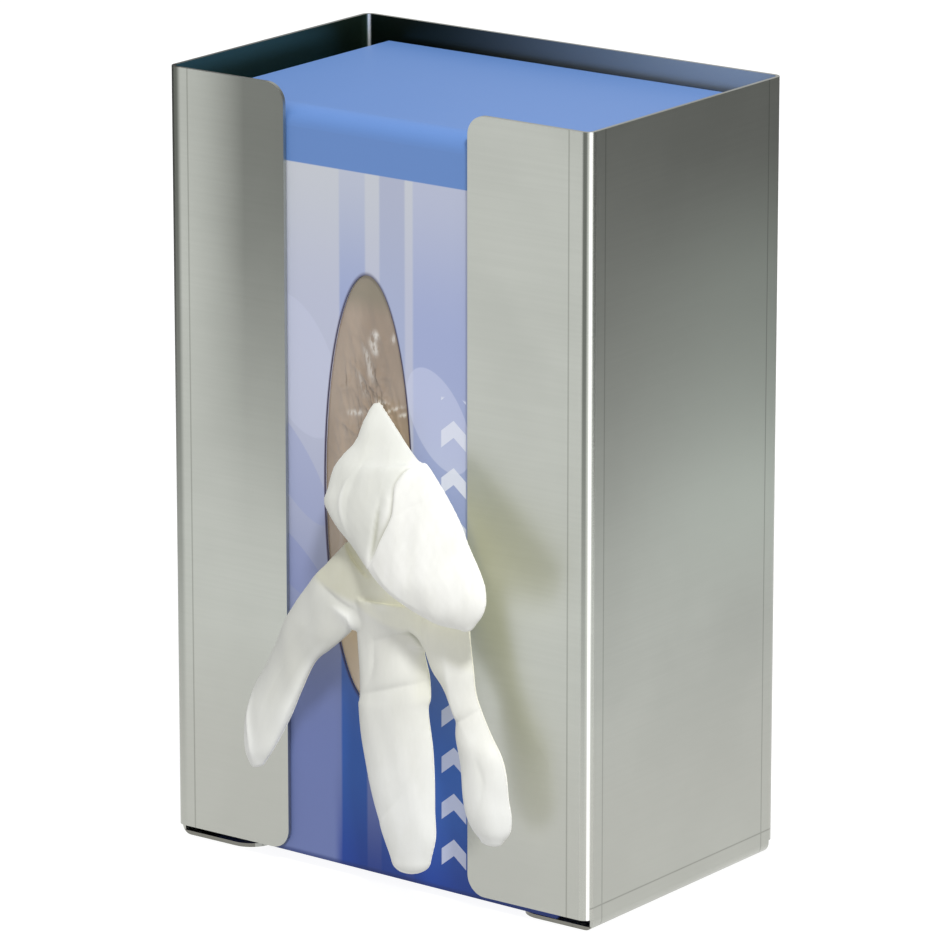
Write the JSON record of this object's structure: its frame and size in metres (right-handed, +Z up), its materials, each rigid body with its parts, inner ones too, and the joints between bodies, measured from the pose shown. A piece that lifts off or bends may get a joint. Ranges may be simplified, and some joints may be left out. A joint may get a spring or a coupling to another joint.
{
  "type": "disposable glove dispenser",
  "caption": "Wall-mounted folded stainless steel holder with an upright carton of disposable gloves, one latex glove hanging from the slit window.",
  "frame": {"origin": "centre of the four keyholes, on the wall face of the steel holder", "axes": "+Z up, +Y into the wall, so the open front faces -Y; +X to the right seen from the front"},
  "size_m": [0.157, 0.1244, 0.244],
  "materials": {
    "holder_steel": "brushed stainless steel, grain running level round the faces",
    "carton_board": "coated paperboard printed in blues, satin",
    "clear_film": "clear glossy film, crinkled round the slit",
    "latex": "thin white latex, soft satin"
  },
  "bodies": {
    "root": {"steel_holder": "holder_steel", "glove_carton": "carton_board", "window_film": "clear_film", "glove_pack": "latex", "drawn_glove": "latex"}
  },
  "joints": []
}
